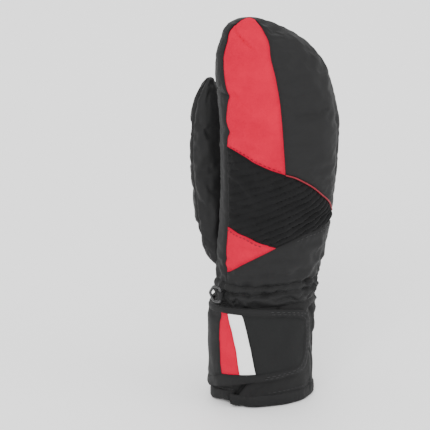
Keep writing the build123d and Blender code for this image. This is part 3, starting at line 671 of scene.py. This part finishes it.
def ring_shell(name, surf, s_vals, off_out, off_in, slot_name, body, nu=150, u_range=None, close_top=True, noise=0.0,
               dispk=1.0):
    """Closed shell between two offsets, round the whole circumference."""
    u = np.arange(nu) * 360.0 / nu
    U, S = np.meshgrid(u, s_vals, indexing="ij")
    z = surf.z_of(S)
    oo, oi = off_out(z) if callable(off_out) else off_out + z * 0, off_in(z) if callable(off_in) else off_in + z * 0
    bump = noise * N1(U / 6.0, S / 4.0, 60) if noise else 0
    P, n = surf.point(U, S, oo, dispk)
    Q, _ = surf.point(U, S, oi + bump, dispk)
    ns = len(s_vals)
    idx = lambda i, j, k: (i % nu) * ns + j + k * nu * ns
    faces = []
    for i in range(nu):
        for j in range(ns - 1):
            faces.append((idx(i, j, 0), idx(i + 1, j, 0), idx(i + 1, j + 1, 0), idx(i, j + 1, 0)))
            faces.append((idx(i, j, 1), idx(i, j + 1, 1), idx(i + 1, j + 1, 1), idx(i + 1, j, 1)))
        faces.append((idx(i, 0, 0), idx(i, 0, 1), idx(i + 1, 0, 1), idx(i + 1, 0, 0)))
        if not close_top:
            faces.append((idx(i, ns - 1, 0), idx(i + 1, ns - 1, 0), idx(i + 1, ns - 1, 1), idx(i, ns - 1, 1)))
    pts = np.vstack([P.reshape(-1, 3), Q.reshape(-1, 3)])
    if close_top:
        c = len(pts)
        pts = np.vstack([pts, P[:, -1].mean(0), Q[:, -1].mean(0)])
        for i in range(nu):
            faces.append((idx(i, ns - 1, 0), idx(i + 1, ns - 1, 0), c))
            faces.append((idx(i + 1, ns - 1, 1), idx(i, ns - 1, 1), c + 1))
    return mesh_object(name, pts, faces, slot_name, None, None, body)


def tube(name, line, radius, slot_name, surf=None, off=0.3, body=HAND, sides=8, step=1.2, flat=1.0, close=False):
    """A round cord laid along a line of the surface."""
    surf = surf or B
    bd = dense(line, surf, step)
    c, n = surf.point(bd[:, 0], bd[:, 1], off)
    t = np.gradient(c, axis=0); t /= np.linalg.norm(t, axis=1, keepdims=True)
    b = np.cross(n, t); b /= np.linalg.norm(b, axis=1, keepdims=True)
    th = np.arange(sides) * 2 * math.pi / sides
    r = np.full(len(c), radius); r[0] *= 0.5; r[-1] *= 0.5
    P = c[:, None] + r[:, None, None] * (np.cos(th)[None, :, None] * b[:, None] + flat * np.sin(th)[None, :, None] * n[:, None])
    pts = P.reshape(-1, 3)
    k = sides
    faces = [(i * k + j, (i + 1) * k + j, (i + 1) * k + (j + 1) % k, i * k + (j + 1) % k) for i in range(len(c) - 1) for j in range(k)]
    faces += [tuple(range(k)), tuple((len(c) - 1) * k + j for j in range(k))[::-1]]
    return mesh_object(name, pts, faces, slot_name, None, None, body, 60)


def stitches(name, line, side, mat_name="thread", surf=None, body=HAND, off=0.0, length=2.3, gap=1.1, r=0.27, slot_name="black_softshell",
             roll_at=None, dispk=1.0):
    """Sewn dashes beside a line of the surface; side is mm to its left."""
    surf = surf or B
    bd = dense(line, surf, 0.4) * [surf.perim, 1]
    t = np.gradient(bd, axis=0); t /= np.maximum(np.linalg.norm(t, axis=1, keepdims=True), 1e-9)
    q = bd + side * np.stack([-t[:, 1], t[:, 0]], 1)
    arc = np.concatenate([[0], np.cumsum(np.linalg.norm(np.diff(q, axis=0), axis=1))])
    starts = np.arange(1.0, arc[-1] - length - 0.5, length + gap)
    pts, faces = [], []
    prof = [(0.0, 0.25), (0.14, 0.8), (0.5, 1.0), (0.86, 0.8), (1.0, 0.25)]
    sag = -0.9 * np.exp(-(abs(side) / 1.6) ** 2) if roll_at is None else roll_at
    for a in starts:
        w = [a + length * f for f, _ in prof]
        xy = np.stack([np.interp(w, arc, q[:, 0]), np.interp(w, arc, q[:, 1])], 1)
        lift = np.array([-0.28, 0.0, 0.10, 0.0, -0.28])
        c, n = surf.point(xy[:, 0] / surf.perim, xy[:, 1], off + sag + lift, dispk)
        tt = np.gradient(c, axis=0); tt /= np.linalg.norm(tt, axis=1, keepdims=True)
        b = np.cross(n, tt)
        base = len(pts)
        for i, (_, k) in enumerate(prof):
            for j in range(6):
                th = j * math.pi / 3
                pts.append(c[i] + r * k * (math.cos(th) * b[i] + math.sin(th) * n[i]))
        for i in range(4):
            for j in range(6):
                faces.append((base + i * 6 + j, base + (i + 1) * 6 + j, base + (i + 1) * 6 + (j + 1) % 6, base + i * 6 + (j + 1) % 6))
        faces.append(tuple(base + j for j in range(6)))
        faces.append(tuple(base + 24 + j for j in range(6))[::-1])
    return mesh_object(name, pts, faces, slot_name, None, None, body, 70, mat_name)


# ---------------------------------------------------------------- hand panels
zrange = lambda line, a, b: [p for p in line if a <= p[1] <= b]
SL_UP = zrange(SEAM_L, 196.5, 400)
SL_LOW = zrange(SEAM_L, 137, 196.5)
SL_WEDGE = zrange(SEAM_L, 102.5, 137)
F_ = "finger"

red = panel("red_upper", SL_UP + RED_R + RED_B[1:-1], "red_softshell", body=F_, step=1.6)
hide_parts("red_upper_panel")
shell = panel("back_shell", [(303.0, 286.1), *RED_R[1:], *PIPE[1:], (351, 200), (351, 245), (351, 286.1)], "black_softshell", body=F_)
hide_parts("back_upper_shell")
rib = panel("knuckle_ribs", [*RED_B[::-1], *PIPE[1:], (351, 134.4), *RIB_B[::-1][1:], *WEDGE_T[::-1][1:], *SL_LOW[1:-1]],
            "rib_knit", body=F_, step=0.95, detail=ribs, bstep=1.2)
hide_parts("knuckle_rib_panel")
wedge = panel("red_wedge", [*WEDGE_T, *WEDGE_B[1:], *SL_WEDGE[1:-1]], "red_softshell", step=1.4)
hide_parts("red_wedge_panel")
low = panel("lower_back", [*WEDGE_B, (207.0, 94), (240, 94), (280, 94), (320, 94), (351, 94), (351, 134.4), *RIB_B[::-1][1:-1]],
            "black_softshell", step=1.5)
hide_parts("lower_back_panel")
gather = panel("wrist_gathers", [(166, 78.2), (230, 78.2), (300, 78.2), (372, 78.2), (372, 94), (300, 94), (230, 94), (166, 94)],
               "black_softshell", step=0.95, bstep=1.2, roll=0.9)
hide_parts("wrist_gather_panel")
gus_i = panel("index_side", [(166, 94), *zrange(SEAM_L, 93.9, 233.9), (204.5, 234), (166, 236.2), (166, 166), (166, 120)], "black_softshell", body=F_)
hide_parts("index_gusset")
gus_p = panel("little_side", [(351, 94), (372, 94), (372, 160), (372, 231.0), (351, 232), (351, 160)], "black_softshell", body=F_)
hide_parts("pinky_gusset")
rim = panel("tip_band", [(-9, 232), *TIP_ARC, (PALM_I, 236.2), (204.5, 234), *zrange(SEAM_L, 234.2, 286.0), (222, 286.1), (100, 286.1), (-9, 286.1)],
            "black_softshell", body=F_)
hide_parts("tip_rim")
p1 = panel("palm_tip", [*TIP_ARC, *FLEX_T[::-1][1:-1]], "synthetic_leather_grey", body=F_)
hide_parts("palm_tip_patch")
p2 = panel("palm_flex", [*FLEX_TW, *FLEX_B[::-1]], "stretch_knit", body=F_, step=1.3)
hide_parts("palm_flex_band")
p3 = panel("palm_mid", [*FLEX_B, *MID_B[::-1]], "synthetic_leather_grey", body=F_)
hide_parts("palm_mid_patch")
p4 = panel("palm_main", [*MID_B, *MAIN_B[::-1]], "synthetic_leather_grey", body=F_, step=1.7)
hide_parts("palm_main_patch")
p5 = panel("palm_heel", [*MAIN_B, (166, 78.2), (90, 78.2), (12, 78.2)], "black_softshell")
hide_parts("palm_heel_panel")
pipe = tube("red_piping_cord", PIPE[:-1], 0.62, "piping_red", off=-0.5)
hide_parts("red_piping")


# ---------------------------------------------------------------- thumb
def thumb_root(u):
    """Height along the thumb where it comes out of the hand."""
    out = []
    s = np.arange(98.0, 200.0, 0.75)
    for a in np.atleast_1d(u):
        p = T.base(np.full(s.shape, float(a)), s) - [OX, OY, 0]
        z = p[:, 2]
        cx, cy, aa, bb = [np.interp(z, B.zz, c) for c in B.cols]
        f = (np.abs((p[:, 0] - cx) / aa) ** 2.15 + np.abs((p[:, 1] - cy) / bb) ** 2.15) ** (1 / 2.15)
        outd = (f - 1) * 32
        k = np.nonzero(outd < -1.2)[0]
        out.append(s[k[-1]] if len(k) else s[0])
    return np.array(out)


def smooth_root(a, b):
    uu = np.linspace(a, b, 46)
    r = thumb_root(uu % 360)
    for _ in range(3):
        r[1:-1] = (r[:-2] + r[1:-1] + r[2:]) / 3
    return [(float(x), float(T.z_of(min(y, 225.0)))) for x, y in zip(uu, r)]


TB = smooth_root(195, 375)
TP = smooth_root(15, 195)
thb = panel("thumb_back", [*TB, (375, 236.0), (195, 236.0)], "black_softshell", surf=T, body="thumb", step=1.5, off=0.2)
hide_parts("thumb_back_shell")
thp = panel("thumb_palm", [*TP, (195, 236.0), (15, 236.0)], "black_softshell", surf=T, body="thumb", step=1.5, off=0.2)
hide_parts("thumb_palm_shell")

# ---------------------------------------------------------------- inner layers
def depth(k):
    tab = {1: (2.75, 3.5, 2.8), 2: (4.4, 5.1, 6.9), 3: (4.8, 5.6, 7.4), 4: (5.9, 6.7, 8.5)}[k]
    return lambda z: -np.interp(z, [74, 80, 92, 104], [tab[0], tab[1], tab[1], tab[2]])


s_in = np.concatenate([np.arange(80.0, 112, 1.4), np.arange(112.0, 245, 2.6), np.linspace(245, B.s1 - 9.5, 18)])
wad = ring_shell("hand_padding", B, s_in, depth(1), depth(2), "wadding", F_, nu=150)
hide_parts("insulation_back", "insulation_palm", "insulation_finger_back", "insulation_finger_palm")
s_cuff = np.arange(5.0, 79.5, 2.4)
cpad = ring_shell("cuff_filling", B, s_cuff, depth(1), depth(2), "wadding", HAND, nu=150, close_top=False)
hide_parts("cuff_padding")
mem = ring_shell("membrane_layer", B, s_in[:-1], lambda z: depth(2)(z) - 0.08, lambda z: depth(3)(z) + 0.1, "membrane", F_, nu=120)
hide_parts("membrane_insert")
lin = ring_shell("fleece_lining", B, s_in[:-2], lambda z: depth(3)(z) - 0.02, depth(4), "lining", F_, nu=150, noise=0.35)
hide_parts("hand_lining")
clin = ring_shell("cuff_fleece", B, np.arange(5.5, 80.3, 2.0), lambda z: depth(2)(z) - 0.1, depth(4), "lining", HAND, nu=150,
                  close_top=False, noise=0.35)
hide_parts("cuff_lining")
ela = ring_shell("wrist_elastic_band", B, np.arange(81.0, 92.0, 1.3), lambda z: depth(4)(z) - 1.0, lambda z: depth(4)(z) - 2.0, "elastic",
                 HAND, nu=150, close_top=False)
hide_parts("wrist_elastic")
s_th = np.concatenate([np.arange(157.0, 206, 2.4), np.linspace(206, T.s1 - 6.5, 12)])
twad = ring_shell("thumb_padding", T, s_th, -1.6, -4.2, "wadding", "thumb", nu=64)
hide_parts("insulation_thumb", "insulation_thumb_root")

# ---------------------------------------------------------------- cuff
SLIT = [(float(slit_u(z)), float(z)) for z in (1.5, 5, 10, 15, 20, 25, 30, 36)] + [(268, 50), (272, 78.8)]
cb = panel("cuff_back", [*SLIT, (320, 78.8), (351, 78.8), (351, 40), (351, 1.5), (300, 1.5), (260, 1.5)], "cuff_fabric", off=0.05,
           detail=over, keep_edge=True, step=1.5, bstep=1.2,
           lift=lambda u, s: 1.8 * np.exp(-np.maximum(u - 219.5, 0) * 0.66 / 14.0) * (1 - sstep(1, 24, s)))
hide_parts("cuff_back_panel")
cs = panel("cuff_side", [(166, 1.5), (200, 1.5), *[(a, b) for a, b in SLIT], (230, 78.8), (166, 78.8), (166, 40)], "cuff_fabric",
           off=-0.1, detail=under, keep_edge=True, lift=lobe_lift, step=1.5, bstep=1.2)
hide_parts("cuff_side_panel")
cp = panel("cuff_palm", [(-9, 1.5), (60, 1.5), (120, 1.5), (166, 1.5), (166, 40), (166, 78.8), (120, 78.8), (60, 78.8), (-9, 78.8), (-9, 40)],
           "cuff_fabric", step=2.0)
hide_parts("cuff_palm_panel")
pl = panel("cuff_pleat", [(214, 2), (229, 2), (240, 14), (251, 27), (242, 27), (227, 14)], "cuff_fabric", off=-1.7, thick=0.9,
           roll=0.2, step=1.6, lift=lambda u, s: 2.6 * (1 - sstep(1, 24, s)))
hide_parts("cuff_pleat_gusset")
lp = panel("loop_patch", [(248, 30), (252, 68), (300, 66), (300, 31)], "loop_fabric", off=0.75, thick=0.65, roll=0.3, step=2.2)
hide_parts("cuff_loop_patch")

# hem binding, a folded tape round the lower edge, open and lapped at the slit
nu = 300
u0 = 219.5
u = np.linspace(u0, u0 + 366.0, nu)
prof = [(0.25, 9.4), (0.85, 8.6), (1.0, 5.0), (0.9, 2.0), (0.2, 0.5), (-1.0, 0.0), (-4.6, 0.0), (-6.0, 0.6), (-6.7, 2.2), (-6.8, 5.5),
        (-6.4, 8.0), (-5.6, 8.2), (-5.4, 3.0), (-0.9, 3.0), (-0.9, 9.2)]
end = np.clip((u - (u0 + 345.0)) / 21.0, 0, 1)
shift = 2.3 * np.exp(-(np.maximum((u - u0) * 0.66, 0) / 10.0) ** 1.4) - 1.7 * np.exp((np.minimum(u - u0 - 360, 0)) * 0.66 / 6.0)
rise = 3.0 * sstep(176 + 360, 206 + 360, u) + 1.8 * np.exp(-(u - u0) * 0.66 / 14.0)
pts = []
for o, zz in prof:
    shrink = 1 - 0.35 * sstep(u0 + 359, u0 + 366, u) * (1 if zz > 5 else 0)
    c, _ = B.point(u, np.full(nu, zz), np.full(nu, o) * (1 if o > 0 else 0.97) + shift + 0.05 * np.sin(np.radians(u) * 60))
    c[:, 2] = zz * shrink + rise * (1 - sstep(1, 24, np.full(nu, zz)))
    pts.append(c)
P = np.stack(pts, 1)
k = len(prof)
faces = [(i * k + j, i * k + (j + 1) % k, (i + 1) * k + (j + 1) % k, (i + 1) * k + j) for i in range(nu - 1) for j in range(k)]
faces += [tuple(range(k))[::-1], tuple((nu - 1) * k + j for j in range(k))]
hem = mesh_object("hem_tape", P.reshape(-1, 3), faces, "binding_tape", None, None, HAND, 60)
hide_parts("hem_binding")

# ---------------------------------------------------------------- closure strap
ENDS = smooth_line([(261.8, 77.5), (285, 75.2), (299, 73.0), (306.3, 69.3), (308.9, 63), (309.3, 50), (308.9, 37), (306.3, 30.0),
                    (299, 26.2), (282, 24.2), (258.6, 22.4)], 5)
SO = [(107, 75.5), (140, 75.6), (165, 75.8), (183, 76.2), (205, 77.2), (228.6, 78.2), (245, 78.3), *ENDS, (244, 21.2), (230.7, 19.6), (215, 17),
      (199, 14.2), (183, 11.2), (160, 13.0), (140, 15.2), (107, 15.5), (107, 45)]
core = panel("strap_core", SO, "cuff_fabric", body="strap", off=3.3, thick=1.7, roll=0.5, roll_w=0.9, step=1.9, bstep=1.4)
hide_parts("strap_panel", "strap_base")
INNER_R = smooth_line([(262, 71.6), (280, 70.0), (292.5, 68.2), (297.4, 65), (299.0, 58), (299.2, 48), (298.8, 39), (296.4, 34),
                       (290, 31.0), (275, 29.2), (259, 28.4)], 5)
SI = [(173, 70.4), (183, 70.8), (204.5, 72.6), (215.1, 73.0), (232, 73.2), (246, 72.6), *INNER_R, (249.9, 28.2), (233.1, 27.4), (209.1, 25.6),
      (199, 22.6), (183, 18.6), (173, 18.0)]
TH_STRAP = [p for p in SO if p[0] >= 172 or p[0] > 171]
ring_out = [(172.5, 76.0), *[p for p in SO if p[0] >= 183], (172.5, 12.1)]
ring_in = [p for p in SI if p[0] > 173]
bind = panel("strap_edge", ring_out + [(172.5, 18.2)] + ring_in[::-1] + [(172.5, 70.4)], "binding_tape",
             body="strap", off=4.1, thick=0.9, roll=0.45, roll_w=0.9, step=1.5, bstep=1.2)
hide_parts("strap_binding")
RL = [(204.5, 72.9), (203.0, 66), (203.2, 55), (204.6, 44), (206.6, 34), (209.1, 25.9)]
RM = smooth_line([(215.1, 73.2), (216.2, 69), (222.1, 57.5), (227.6, 43.5), (233.1, 27.8)], 4)
RR = smooth_line([(232.3, 73.4), (238.0, 62.5), (244.4, 45.5), (249.9, 28.6)], 4)
sd = dict(body="strap", off=4.0, thick=0.8, roll=0.35, roll_w=0.7, step=1.4, bstep=1.0)
sr = panel("strap_red_inset", [*RM, *RL[::-1]], "red_softshell", **sd)
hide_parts("strap_red_panel")
sw = panel("strap_stripe", [*RR, *RM[::-1]], "light_stripe", **sd)
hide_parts("strap_light_stripe")
se = panel("strap_end", [(246, 72.9), *INNER_R, (249.9, 28.6), *RR[::-1][1:]], "synthetic_leather_black", **sd)
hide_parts("strap_end_panel")
sx = panel("strap_side_inset", [(172.5, 70.6), (183, 70.9), (204.5, 72.9), *RL[1:], (199, 22.8), (183, 18.8), (172.5, 18.2)], "cuff_fabric", **sd)
hk = panel("hook_patch", [(268, 67), (290, 63), (297, 56), (298, 41), (291, 33.5), (268, 31)], "hook_tape", body="strap", off=1.55,
           thick=0.65, roll=0.15, step=2.2)
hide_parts("strap_hook_patch")

# ---------------------------------------------------------------- clip ring and its tab
RX, RY, RD = OX - 36.4, OY - 12.2, math.radians(123.5)
loop_pts = [(0.0, 80.0), (5.2, 79.6), (6.9, 80.3), (9.9, 85.0), (9.9, 86.0), (6.9, 90.7), (5.2, 91.4), (0.0, 91.0)]
ctr = []
for i, (a, b) in enumerate(loop_pts):
    c, d = loop_pts[(i + 1) % len(loop_pts)]
    for t in np.linspace(0, 1, 6)[:-1]:
        ctr.append((a + (c - a) * t, b + (d - b) * t))
ctr = np.array(ctr)
for _ in range(2):
    ctr = (np.roll(ctr, 1, 0) + 2 * ctr + np.roll(ctr, -1, 0)) / 4
C3 = np.stack([RX + ctr[:, 0] * math.cos(RD), RY + ctr[:, 0] * math.sin(RD), ctr[:, 1]], 1)
tt = np.roll(C3, -1, 0) - np.roll(C3, 1, 0); tt /= np.linalg.norm(tt, axis=1, keepdims=True)
side = np.array([-math.sin(RD), math.cos(RD), 0.0])
nn = np.cross(tt, side)
th = np.arange(10) * 2 * math.pi / 10
Pp = C3[:, None] + 1.05 * (np.cos(th)[None, :, None] * nn[:, None] + np.sin(th)[None, :, None] * side[None, None])
nr = len(C3)
faces = [(i * 10 + j, i * 10 + (j + 1) % 10, ((i + 1) % nr) * 10 + (j + 1) % 10, ((i + 1) % nr) * 10 + j) for i in range(nr) for j in range(10)]
ringo = mesh_object("clip_ring", Pp.reshape(-1, 3), faces, "clip_plastic", None, None, CLIP_B, 60)
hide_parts("hook_ring")
ta = RD - math.pi / 2
tx, ty = np.array([math.cos(ta), math.sin(ta), 0]), np.array([-math.sin(ta), math.cos(ta), 0])
path = [(7.5, 0.62), (4.0, 0.75), (1.5, 1.2), (0.0, 1.95), (-1.35, 1.45), (-1.95, 0.0), (-1.35, -1.45), (0.0, -1.95), (1.5, -1.2), (4.0, -0.75), (7.5, -0.62)]
outer = np.array(smooth_line(path, 4))
tan = np.gradient(outer, axis=0); tan /= np.linalg.norm(tan, axis=1, keepdims=True)
inner = outer + 0.55 * np.stack([tan[:, 1], -tan[:, 0]], 1) * -1
pts, faces = [], []
zs = [82.5, 82.9, 87.9, 88.3]
nO = len(outer)
for zi, zz in enumerate(zs):
    for arr in (outer, inner):
        for x, y in arr:
            pts.append(np.array([RX, RY, 0]) + tx * x + ty * y + np.array([0, 0, zz]))
idx = lambda zi, side_, i: zi * 2 * nO + side_ * nO + i
for zi in range(len(zs) - 1):
    for i in range(nO - 1):
        faces.append((idx(zi, 0, i), idx(zi, 0, i + 1), idx(zi + 1, 0, i + 1), idx(zi + 1, 0, i)))
        faces.append((idx(zi, 1, i), idx(zi + 1, 1, i), idx(zi + 1, 1, i + 1), idx(zi, 1, i + 1)))
    for i in (0, nO - 1):
        f = (idx(zi, 0, i), idx(zi + 1, 0, i), idx(zi + 1, 1, i), idx(zi, 1, i))
        faces.append(f if i == 0 else f[::-1])
for zi in (0, len(zs) - 1):
    for i in range(nO - 1):
        f = (idx(zi, 0, i), idx(zi, 1, i), idx(zi, 1, i + 1), idx(zi, 0, i + 1))
        faces.append(f if zi == 0 else f[::-1])
tab = mesh_object("ring_tab", pts, faces, "webbing", None, None, HAND, 50)
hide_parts("hook_tab")

# ---------------------------------------------------------------- stitching
stitches("stitch_red_lower", RED_B[1:-1], -1.3, "thread_red", body=F_, slot_name="red_softshell", roll_at=-0.5)
stitches("stitch_wedge_top", WEDGE_T[:-1], -1.9, body=HAND, roll_at=-0.25)
stitches("stitch_rib_lower", RIB_B[1:], -1.9, body=HAND, roll_at=-0.25)
stitches("stitch_palm_tip", TIP_ARC[1:-1], 1.9, body=F_, roll_at=-0.25)
stitches("stitch_palm_main", MAIN_B, -1.9, body=HAND, roll_at=-0.25)
stitches("stitch_palm_flex_upper", FLEX_T, -1.9, body=F_, roll_at=-0.25)
stitches("stitch_palm_flex_lower", FLEX_B, 1.9, body=F_, roll_at=-0.25)
stitches("stitch_strap_inner", INNER_R, 2.4, body="strap", off=4.1, roll_at=-0.05, slot_name="binding_tape")
stitches("stitch_strap_outer", ENDS, -1.8, body="strap", off=4.1, roll_at=-0.1, slot_name="binding_tape")
stitches("stitch_hem", [(-9, 11.5), (60, 11.5), (120, 11.5), (166, 11.5), (200, 12.5), (226, 13.5)], 0, body=HAND, roll_at=0.0, slot_name="binding_tape")
stitches("stitch_hem_back", [(262, 11.5), (300, 11.5), (350, 11.5)], 0, body=HAND, roll_at=0.0, slot_name="binding_tape")

# ---------------------------------------------------------------- floor and light
bpy.ops.mesh.primitive_plane_add(size=12, location=(0, 0, -0.0002))
floor = bpy.context.object
floor.name = "floor"
fm = bpy.data.materials.new("floor")
fm.use_nodes = True
fm.node_tree.nodes["Principled BSDF"].inputs["Base Color"].default_value = (0.93, 0.93, 0.93, 1)
fm.node_tree.nodes["Principled BSDF"].inputs["Roughness"].default_value = 0.9
floor.data.materials.append(fm)
world = bpy.data.worlds.new("world")
bpy.context.scene.world = world
world.use_nodes = True
world.node_tree.nodes["Background"].inputs["Color"].default_value = (1, 1, 1, 1)
world.node_tree.nodes["Background"].inputs["Strength"].default_value = 1.55


def area(name, loc, size, power):
    l = bpy.data.lights.new(name, "AREA")
    l.size, l.energy = size, power
    o = bpy.data.objects.new(name, l)
    bpy.context.scene.collection.objects.link(o)
    o.location = loc
    o.rotation_mode = "QUATERNION"
    o.rotation_quaternion = (Vector((0, 0, 0.14)) - Vector(loc)).to_track_quat("-Z", "Y")


area("key", (-0.9, -1.5, 1.5), 1.0, 26)
area("fill", (1.5, -1.2, 0.9), 1.2, 10)
area("back_light", (0.4, 1.6, 1.6), 1.2, 14)
